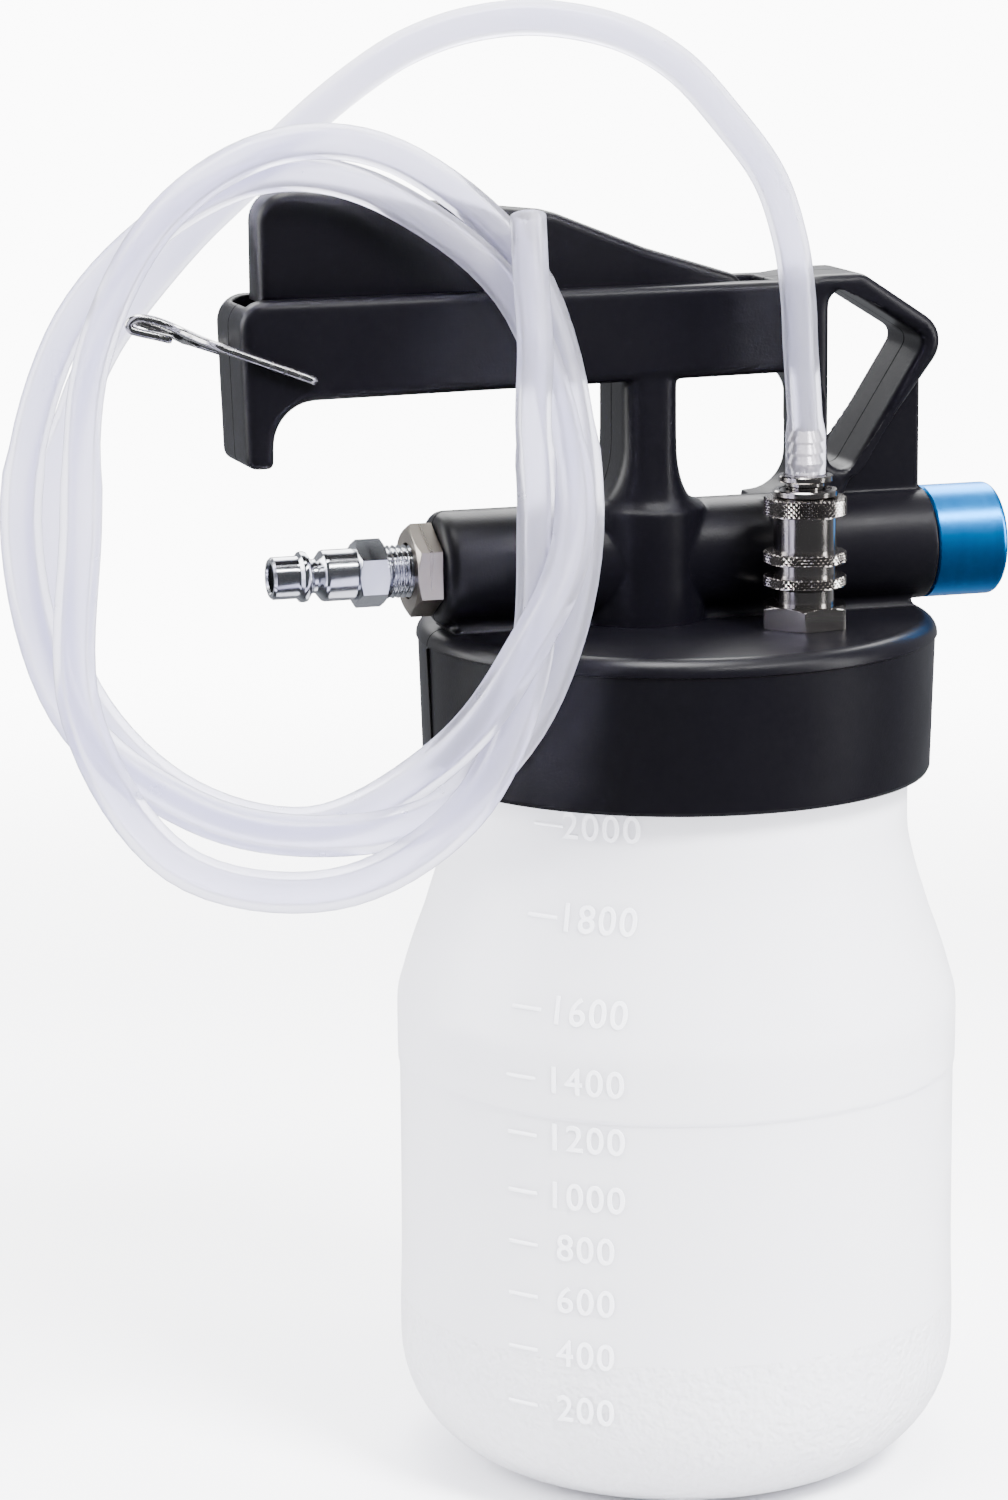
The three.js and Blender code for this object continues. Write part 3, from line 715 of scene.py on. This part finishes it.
def bottle():
    heel = [(FLOOR_HALF + HEEL_OUT * math.sin(a), HEEL_UP - HEEL_UP * math.cos(a))
            for a in (math.pi / 2 * i / 14 for i in range(15))]
    side = [(p.x, p.y) for p in spline_points([(r, z, 0) for r, z in BOTTLE_SIDE], 3)]
    rim = BOTTLE_HIGH.z
    outside = [(0, 0), *heel, *side[1:], (NECK_R, rim - 0.6), (NECK_R - 0.6, rim)]
    inside = [(max(r - WALL, 0), max(z, WALL)) for r, z in reversed([(0, 0), *heel, *side[1:]])]
    profile = [*outside, (NECK_R - 2.2, rim), (NECK_R - 2.6, rim - 0.6), *inside]
    body = revolve("bottle_shell", profile, 144, soft=True)
    finish_piece(body, LOOKS["bottle"], "bottle", 40, ("bottle",))
    for start in range(2):
        ridge = []
        middle = NECK_R + 0.4
        for i in range(50):
            a = start * math.pi + 2 * THREAD_TURNS * math.pi * i / 49
            z = THREAD_Z + THREAD_LEAD * THREAD_TURNS * i / 49
            ridge.append(Vector((middle * math.cos(a), middle * math.sin(a), z)))
        screw = sweep(f"bottle_thread_{start + 1}", ridge, THREAD_WIRE_R, 10)
        finish_piece(screw, LOOKS["bottle"], "bottle")


def wrap(obj, turn, height):
    """Bends a flat mark in the XY plane round the bottle: X goes round it and Y goes up it."""
    for vertex in obj.data.vertices:
        u, v, w = vertex.co / MM
        z = height + v
        r = bottle_radius(z) + w
        a = turn - u / r
        vertex.co = Vector((-math.sin(a) * r, -math.cos(a) * r, z)) * MM
    obj.data.update()
    return obj


# what each mark says in millilitres, and its height. The model holds more than they say.
MARKS = [(200, 30.6), (400, 44.6), (600, 58), (800, 71.1), (1000, 84.1), (1200, 98.6),
         (1400, 112.9), (1600, 129.4), (1800, 150.6), (2000, 172.6)]
DIGIT_TURN = math.radians(38)
DASH_TURN = math.radians(51.8)
DASH_HALF = 4.1
DIGIT_SIZE = 9.3
MARK_RISE = 0.16


def scale_marks():
    for value, z in MARKS:
        data = bpy.data.curves.new(f"mark_{value}", "FONT")
        data.body = str(value)
        data.size = DIGIT_SIZE * MM
        data.align_x = "CENTER"
        data.align_y = "CENTER"
        data.extrude = MARK_RISE * MM
        data.bevel_depth = 0.1 * MM
        data.space_character = 1.12
        data.resolution_u = 6
        text = bpy.data.objects.new(f"mark_{value}", data)
        bpy.context.scene.collection.objects.link(text)
        graph = bpy.context.evaluated_depsgraph_get()
        mesh = bpy.data.meshes.new_from_object(text.evaluated_get(graph))
        bpy.data.objects.remove(text)
        digits = bpy.data.objects.new(f"scale_digits_{value}", mesh)
        bpy.context.scene.collection.objects.link(digits)
        wrap(digits, DIGIT_TURN, z)
        finish_piece(digits, LOOKS["mark"], "bottle", 50)
        line = [Vector((-DASH_HALF + DASH_HALF * k / 6, 0, -0.35)) for k in range(13)]
        dash = wrap(sweep(f"scale_line_{value}", line, 0.6, 10), DASH_TURN, z)
        finish_piece(dash, LOOKS["mark"], "bottle", 50)


# ---- head: lid and upper moulding -----------------------------------------------------------
LID_R = 64.6
LID_STEP_Z = LID_FOOT + 33.8
HOUSING_R = 14.2
HOUSING_LEFT = -63.0
HOUSING_RIGHT = 64.6
CHAMBER_R = 16.5
CHAMBER_TOP = 243.5
POST_HALF_X = 6.9
POST_FLARE_TOP = 259.5
POST_FLARE_HIGH = 15.6


def lid():
    foot = LID_FOOT
    profile = [
        (0, LID_TOP), (58.6, LID_TOP), *arc(60.4, LID_TOP, LID_R, LID_STEP_Z + 0.2, -1, 7),
        (LID_R, LID_STEP_Z), (LID_R - 0.45, LID_STEP_Z - 0.25), (LID_R - 0.5, LID_STEP_Z - 1.2),
        (63.1, foot + 0.9), (62.6, foot), (61.0, foot), (60.4, foot + 0.6), (60.4, foot + 32.1),
        (53, foot + 32.1), (53, foot + 33.6), (0, foot + 33.6),
    ]
    piece = revolve("lid", profile, 180)
    finish_piece(piece, LOOKS["head"], "head", 24)
    for i, side in enumerate((-1, 1)):
        seam = block(f"lid_seam_{i + 1}", (side * 62.6, side * 64.75), (-0.22, 0.22),
                     (foot + 0.6, LID_STEP_Z - 0.6))
        for vertex in seam.data.vertices:
            if vertex.co.z < (foot + 2) * MM:
                vertex.co.x -= side * 1.45 * MM
        finish_piece(seam, LOOKS["head"], "head")


# corners as (x, z, rounding radius)
GRIP_OUTLINE = [
    (-113.5, 298.2, 6.5), (-112.0, 258.2, 2.6), (-105.4, 258.2, 1.4), (-105.1, 274.0, 10.5),
    (24, 275.6, 0), (32.4, 275.4, 8.2), (32.4, 244.4, 9.6), (21, 244, 0), (21, 236, 0),
    (36, 236, 0), (41.0, 247.6, 0), (68.4, 283.7, 7.5), (44.6, 299.4, 6), (34, 299.3, 10),
    (26, 298.2, 10),
]
WINDOW_OUTLINE = [
    (35.6, 298.4, 3.8), (35.6, 251.0, 3.4), (42.0, 251.6, 2.6), (61.4, 282.4, 3.0),
]


def cross_section(name, levels):
    """A closed loft of rounded rectangles given as (z, x centre, half x, half y, corner)."""
    verts, faces = [], []
    steps = 8
    for z, x, a, b, r in levels:
        for corner, (sx, sy) in enumerate(((1, 1), (-1, 1), (-1, -1), (1, -1))):
            for k in range(steps + 1):
                t = math.pi / 2 * (corner + k / steps)
                across = x + sx * (a - r) + r * math.cos(t)
                verts.append((across, sy * (b - r) + r * math.sin(t), z))
    ring = 4 * (steps + 1)
    for i in range(len(levels) - 1):
        for k in range(ring):
            n = (k + 1) % ring
            faces.append((i * ring + k, i * ring + n, (i + 1) * ring + n, (i + 1) * ring + k))
    faces.append(tuple(range(ring - 1, -1, -1)))
    faces.append(tuple(range((len(levels) - 1) * ring, len(levels) * ring)))
    return link_mesh(name, verts, faces)


def head():
    grip = slab("grip", [outline(GRIP_OUTLINE), outline(WINDOW_OUTLINE)[::-1]], 2 * GRIP_HALF, 2.4)
    carve(grip, block("channel", (-110.3, 22.6), (-6.9, 6.9), (279.2, 306)))
    post = [(278, VALVE_X, POST_HALF_X, 12.6, 4.6), (262, VALVE_X, POST_HALF_X, 12.8, 4.8)]
    for i in range(9):
        t = i / 8
        swell = 1 - math.sqrt(max(0, 1 - t * t))
        half_x = POST_HALF_X + 8.7 * swell
        half_y = 13 + 2.6 * swell
        height = POST_FLARE_TOP - POST_FLARE_HIGH * t
        post.append((height, VALVE_X, half_x, half_y, 4.8 + 10.7 * swell))
    post.append((238, VALVE_X, 15.6, 15.6, 15.5))
    chamber = [
        (0, 209), (CHAMBER_R, 209), (CHAMBER_R, CHAMBER_TOP - 1),
        *arc(CHAMBER_R, CHAMBER_TOP - 0.9, 15.7, CHAMBER_TOP, 1, 3), (0, CHAMBER_TOP),
    ]
    left = HOUSING_LEFT
    barrel = [
        (0, left), (HOUSING_R - 3.4, left),
        *arc(HOUSING_R - 3.2, left, HOUSING_R, left + 3.2, -1, 6),
        (HOUSING_R, HOUSING_RIGHT), (0, HOUSING_RIGHT),
    ]
    gusset = outline([(33, 236, 0), (63.3, 236, 0), (63.3, 276, 0), (58, 272.6, 0), (40, 249, 0)])
    parts = [
        grip,
        cross_section("post", post),
        revolve("chamber", chamber, 64, (VALVE_X, 0)),
        revolve("barrel", barrel, 64, lying=True),
        slab("gusset", [gusset], 7.0, 0.4),
        block("pedestal", (left + 4, 60.0), (-7.4, 7.4), (LID_TOP - 2.4, AXIS_Z)),
        block("pedestal_foot", (left + 3, 60.8), (-8.4, 8.4), (LID_TOP - 2.4, LID_TOP + 0.5)),
    ]
    moulding = melt("head_moulding", parts, 0.5, 8)
    finish_piece(moulding, LOOKS["head"], "head", 180, ("head_body",))


# ---- lever, its pin and its lock wire -------------------------------------------------------
LEVER_OUTLINE = [
    (-106.9, 297.4, 0), (8, 283.6, 0), (17.4, 281.4, 4), (21.2, 289, 5), (14, 299.5, 6),
    (-9.6, 306.9, 14), (-33.3, 316.4, 14), (-97.2, 323.4, 8), (-106.9, 323.6, 7.5),
]


def lever():
    body = slab("trigger_lever", [outline(LEVER_OUTLINE, 9)], 12.4, 2.6)
    finish_piece(body, LOOKS["lever"], "lever", 30, ("lever",))
    for side in (-1, 1):
        end = side * (GRIP_HALF - 0.15)
        profile = [
            (0, end - side * 3), (PIN_R, end - side * 3), (PIN_R, end - side * 0.25),
            (PIN_R - 0.25, end), (0, end),
        ]
        cap = revolve(f"pin_end_{'near' if side < 0 else 'far'}", profile, 28)
        place = Matrix.Translation((PIN[0] * MM, 0, PIN[1] * MM))
        cap.data.transform(place @ Matrix.Rotation(-math.pi / 2, 4, "X"))
        finish_piece(cap, LOOKS["pin"], "head")


# the bail's two legs, from their ends in the handle out to the loop
NEAR_LEG = [
    (-95.8, -9, 279.2), (-95.8, -12.6, 279.2), (-96.5, -14.5, 279.5), (-99, -14.75, 280.5),
    (-105, -14.8, 282.8), (-112, -14.7, 285.5), (-117.6, -14.3, 287.7), (-120.4, -12.4, 288.8),
    (-122.4, -8.8, 289.6), (-124, -5, 290.4), (-126, -2.2, 291.4), (-129, -0.9, 292.8),
    (-132.6, -0.6, 294), (-135.6, -0.4, 294.3), (-137.3, 0, 293.1), (-136.8, 0.2, 291.6),
    (-134.6, 0.2, 290.8), (-131, 0.2, 289.9), (-127, 0.2, 288.8),
]
FAR_LEG = [
    (-95.8, 9, 279.2), (-95.8, 12.6, 279.2), (-96.5, 14.5, 279.4), (-99, 14.75, 280.2),
    (-106, 14.8, 281.9), (-113, 14.6, 284.4), (-118.6, 13.8, 286.4), (-121.4, 10.4, 287.4),
    (-123.4, 6, 288.4), (-125.4, 3.4, 289.4), (-128, 2.4, 290.6), (-132, 2.1, 292.2),
    (-135.4, 2, 293.5),
]
WIRE_R = 1.05


def lock_wire():
    legs = (("lock_wire_near", NEAR_LEG, ("lock_wire",)), ("lock_wire_far", FAR_LEG, ()))
    for name, leg, nodes in legs:
        line = spline_points(leg, 6)
        radius = [WIRE_R] * len(line)
        radius[0] = radius[-1] = WIRE_R * 0.82
        wire = sweep(name, line, radius, 16)
        finish_piece(wire, LOOKS["wire"], "lock_wire", 40, nodes)


# ---- compressed-air inlet and silencer ------------------------------------------------------
CHAMFER = math.radians(26)
NUT_FLATS = 20.0
NUT_ENDS = (-69.5, -63.3)
PLUG_FLATS = 14.6
PLUG_HEX_ENDS = (-83.2, -75.8)
PIPE_THREAD_R = 6.55
PIPE_THREAD_PITCH = 1.337


def hexed(flats, chamfer_low, chamfer_high, low, high, turn=0.0):
    """A shape function and the rim profile of a hexagon, chamfered at either end."""
    corner = flats / math.sqrt(3)
    slope = math.tan(CHAMFER)
    start = flats / 2 * 0.985

    def shape(angle, height, radius):
        if radius < start:
            return radius
        wedge = (angle - turn) % (math.pi / 3) - math.pi / 6
        flat = flats / 2 / math.cos(wedge)
        limit = corner
        if chamfer_low:
            limit = min(limit, start + (height - low) / slope)
        if chamfer_high:
            limit = min(limit, start + (high - height) / slope)
        return min(flat, limit)

    rise = (corner - flats / 2) * slope * 1.3
    heights = [low]
    if chamfer_low:
        heights += [low + rise * (i + 1) / 8 for i in range(8)]
    if chamfer_high:
        heights += [high - rise * (8 - i) / 8 for i in range(8)]
    heights.append(high)
    return shape, [(corner, h) for h in heights]


def air_inlet():
    low, high = NUT_ENDS
    shape, rim = hexed(NUT_FLATS, True, False, low, high)
    profile = [(6.9, low), *rim, (6.9, high)]
    nut = revolve("bushing_nut", profile, 120, lying=True, shape=shape)
    finish_piece(nut, LOOKS["bushing"], "head", 20, ("inlet_bushing",))

    mouth = NIPPLE_LOW.x
    plug = [
        (3.5, mouth + 12), (3.5, mouth + 0.5), (3.9, mouth), (4.7, mouth), (5.2, mouth + 0.6),
        (5.2, -97.8), (5.25, -97.4), (6.1, -96.7), (6.2, -96.2), (6.2, -95.6), (6.0, -95.1),
        (4.5, -94.1), (4.15, -93.7), (4.15, -92.9), (4.5, -92.5), (6.1, -91.2), (6.3, -90.6),
        (6.3, -83.2), (5.9, -82.9), (3.5, -82.9),
    ]
    piece = revolve("air_plug", plug, 96, lying=True)
    finish_piece(piece, LOOKS["chrome"], "head", 24, ("inlet_nipple",))
    low, high = PLUG_HEX_ENDS
    shape, rim = hexed(PLUG_FLATS, True, True, low, high)
    profile = [(4.5, low), *rim, (4.5, high)]
    piece = revolve("plug_hexagon", profile, 120, lying=True, shape=shape)
    finish_piece(piece, LOOKS["chrome"], "head", 20)
    thread("plug_thread", PIPE_THREAD_R, PIPE_THREAD_PITCH, -75.9, -63.5, "chrome")


def thread(name, crest, pitch, low, high, look):
    """A lying pipe thread: a helical V groove cut in a turned bar."""
    rows = int((high - low) / pitch * 10)
    heights = [low + (high - low) * i / rows for i in range(rows + 1)]
    relief = min(1.0, (high - low) / 4)

    def shape(angle, height, radius):
        if radius < crest * 0.9:
            return radius
        phase = (height / pitch - angle / math.tau) % 1
        cut = abs(phase * 2 - 1)
        depth = 0.62 * pitch * min(1.0, 1.25 * cut)
        lead_in = max(0.0, relief - (height - low)) * 0.9
        return radius - max(depth, lead_in)

    profile = [(crest * 0.6, low), *[(crest, h) for h in heights], (crest * 0.6, high)]
    piece = revolve(name, profile, 60, lying=True, shape=shape)
    finish_piece(piece, LOOKS[look], "head", 50)


SHELL_START = 64.8
SHELL_R = 14.1
DISC_R = 12.15
HOLE_R = 1.6
HOLE_CIRCLE_R = 7.4


def silencer():
    low, high = SHELL_LOW.x + 6, SHELL_HIGH.x
    start = SHELL_START
    radius = SHELL_R
    shell = [
        (12.4, start + 2), (5, start + 2), (5, low), (7.6, low), (7.6, start),
        (radius - 0.5, start), (radius, start + 0.4), (radius, high - 1.6),
        *arc(radius, high - 1.5, radius - 1.5, high, 1, 5), (12.7, high), (12.4, high - 0.3),
    ]
    piece = revolve("silencer_shell", shell, 144, lying=True)
    finish_piece(piece, LOOKS["blue"], "head", 24, ("muffler_shell",))
    disc_low, disc_high = node_box("muffler_disc")
    profile = [
        (0, disc_low.x), (DISC_R, disc_low.x), (DISC_R, disc_high.x - 0.2),
        (DISC_R - 0.25, disc_high.x), (0, disc_high.x),
    ]
    disc = revolve("silencer_disc", profile, 96, lying=True)
    drill = [
        (0, disc_low.x - 1), (HOLE_R, disc_low.x - 1), (HOLE_R, disc_high.x + 1),
        (0, disc_high.x + 1),
    ]
    for i in range(7):
        a = math.tau * i / 6
        spread = HOLE_CIRCLE_R if i < 6 else 0.0
        tool = revolve("hole", drill, 24, lying=True)
        place = (0, spread * math.cos(a) * MM, spread * math.sin(a) * MM)
        tool.data.transform(Matrix.Translation(place))
        carve(disc, tool)
    finish_piece(disc, LOOKS["blue"], "head", 24, ("muffler_disc",))


# ---- quick coupler --------------------------------------------------------------------------
KNURL_TEETH = 48
RING_R = 10.2
KNURL_CUT = 0.5
KNURL_EDGE = 0.35
SLEEVE_RINGS = ((225.4, 228.0), (231.1, 233.9), (242.8, 247.2))
COUPLER_HEX_TOP = 221.0
COUPLER_HEX_TURN = math.atan2(-0.932, -0.363)  # a corner toward the camera


def knurled_ring(name, low, high, bore):
    """A ring of diamond points between plain chamfers.

    Its grid has half the teeth's pitch and alternates points and grooves.
    """
    columns = 2 * KNURL_TEETH
    knurled = high - low - 2 * KNURL_EDGE
    rows = round(knurled / (math.pi * RING_R / KNURL_TEETH))
    rings = [(bore, low), (RING_R - KNURL_EDGE, low)]
    rings += [(RING_R, low + KNURL_EDGE + knurled * j / rows) for j in range(rows + 1)]
    rings += [(RING_R - KNURL_EDGE, high), (bore, high)]
    verts, faces = [], []
    for j, (radius, height) in enumerate(rings):
        for i in range(columns):
            a = math.tau * i / columns
            r = radius - KNURL_CUT if radius == RING_R and (i + j) % 2 else radius
            verts.append((COUPLER[0] + r * math.cos(a), COUPLER[1] + r * math.sin(a), height))
    count = len(rings)
    for j in range(count):
        for i in range(columns):
            row, above = j * columns, (j + 1) % count * columns
            here, right = row + i, row + (i + 1) % columns
            up, across = above + i, above + (i + 1) % columns
            if (i + j) % 2:
                faces += [(here, right, across), (here, across, up)]
            else:
                faces += [(here, right, up), (right, across, up)]
    piece = link_mesh(name, verts, faces)
    finish_piece(piece, LOOKS["nickel"], "sleeve", 20)


def coupler():
    low = LID_TOP + 0.15
    high = COUPLER_HEX_TOP
    shape, rim = hexed(NUT_FLATS, False, True, low, high, COUPLER_HEX_TURN)
    profile = [(4.6, low), *rim, (7.4, high), (4.6, high)]
    base = revolve("coupler_hexagon", profile, 120, COUPLER, shape=shape)
    finish_piece(base, LOOKS["nickel"], "head", 20, ("coupler_body",))
    stem = [(4.8, 220.4), (7.25, 220.4), (7.25, 224.6), (6.2, 225.0), (6.2, 249.0), (4.8, 249.0)]
    piece = revolve("coupler_stem", stem, 72, COUPLER)
    finish_piece(piece, LOOKS["nickel"], "head", 24)
    barrel = [
        (7.4, 226.2), (7.5, 225.9), (7.7, 226.3), (7.7, 242.9), (7.7, 247.0), (7.0, 247.0),
        (7.0, 231), (7.4, 230.5),
    ]
    sleeve = revolve("sleeve_barrel", barrel, 96, COUPLER)
    finish_piece(sleeve, LOOKS["nickel"], "sleeve", 24, ("coupler_sleeve",))
    for i, (z0, z1) in enumerate(SLEEVE_RINGS):
        knurled_ring(f"sleeve_ring_{i + 1}", z0, z1, 7.4)
    collar = [(6.45, 247.5), (7.8, 247.5), (8.0, 247.7), (8.0, 248.8), (7.7, 249.1), (6.45, 249.1)]
    piece = revolve("retainer", collar, 72, COUPLER)
    finish_piece(piece, LOOKS["nickel"], "head", 24, ("retaining_ring",))
    plug = [
        (2.4, 228), (4.2, 228), (4.2, 249.6), (4.75, 250.0), (4.75, 250.9), (5.4, 251.0),
        (6.5, 251.0), (6.75, 251.3), (6.75, 252.3), (6.5, 252.6), (2.95, 252.6), (2.9, 253.4),
        (3.9, 255.4), (2.95, 257.6), (3.9, 258.0), (2.95, 260.4), (3.9, 260.8), (2.8, 263.4),
        (2.4, 263.6),
    ]
    piece = revolve("hose_barb", plug, 72, COUPLER)
    finish_piece(piece, LOOKS["nickel"], "head", 24, ("hose_plug",))


# ---- what is carried over from the frame ----------------------------------------------------
CARRIED = {
    "lid_gasket": "rubber", "nozzle_oring": "rubber", "stem_oring": "rubber",
    "poppet_seal": "rubber", "coupler_washer": "rubber", "plug_oring": "rubber",
    "ejector_nozzle": "brass", "diffuser": "brass", "stem_guide": "brass", "valve_seat": "brass",
    "valve_poppet": "brass", "silencer_core": "felt", "valve_stem": "pin", "valve_spring": "wire",
    "sleeve_spring": "wire", "lever_pin": "pin", "valve_plug": "head", "float_cage": "cage",
    "float_ball": "float", "fill_tube": "tube", "coupler_locknut": "nickel",
    "lock_ball_1": "nickel", "lock_ball_2": "nickel", "lock_ball_3": "nickel",
    "lock_ball_4": "nickel",
}


def carried_over():
    for node, look in CARRIED.items():
        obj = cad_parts[node]
        obj.data.materials.clear()
        obj.data.materials.append(LOOKS[look])


def looks():
    round_z = (0.04, 0.04, 1.0)
    round_x = (1.0, 0.04, 0.04)
    return {
        "head": moulded_plastic("head_nylon", (0.0017, 0.0015, 0.0028), 0.36, seam=True),
        "lever": moulded_plastic("lever_nylon", (0.0018, 0.0016, 0.0028), 0.38),
        "cage": moulded_plastic("cage_acetal", (0.02, 0.02, 0.024), 0.5),
        "float": moulded_plastic("float_white", (0.8, 0.8, 0.78), 0.4),
        "tube": moulded_plastic("tube_natural", (0.75, 0.76, 0.74), 0.45),
        "chrome": turned_metal("chromed_plug", (0.52, 0.53, 0.56), 0.16, round_x),
        "nickel": turned_metal("nickel_coupler", (0.35, 0.33, 0.315), 0.16, round_z),
        "bushing": turned_metal("dull_bushing", (0.3, 0.27, 0.235), 0.34, round_x, 0.0015),
        "brass": turned_metal("turned_brass", (0.62, 0.47, 0.22), 0.25, round_x),
        "wire": wire_metal("drawn_wire", (0.36, 0.355, 0.35), 0.24),
        "pin": wire_metal("ground_pin", (0.2, 0.2, 0.21), 0.35),
        "rubber": rubber("nitrile"),
        "bottle": bottle_plastic(),
        "mark": mark_plastic(),
        "hose": hose_silicone(),
        "blue": blue_anodised(),
        "felt": felt(),
    }


camera()
LOOKS = looks()
hose()
floor()
studio()
bottle()
scale_marks()
lid()
head()
lever()
lock_wire()
air_inlet()
silencer()
coupler()
carried_over()
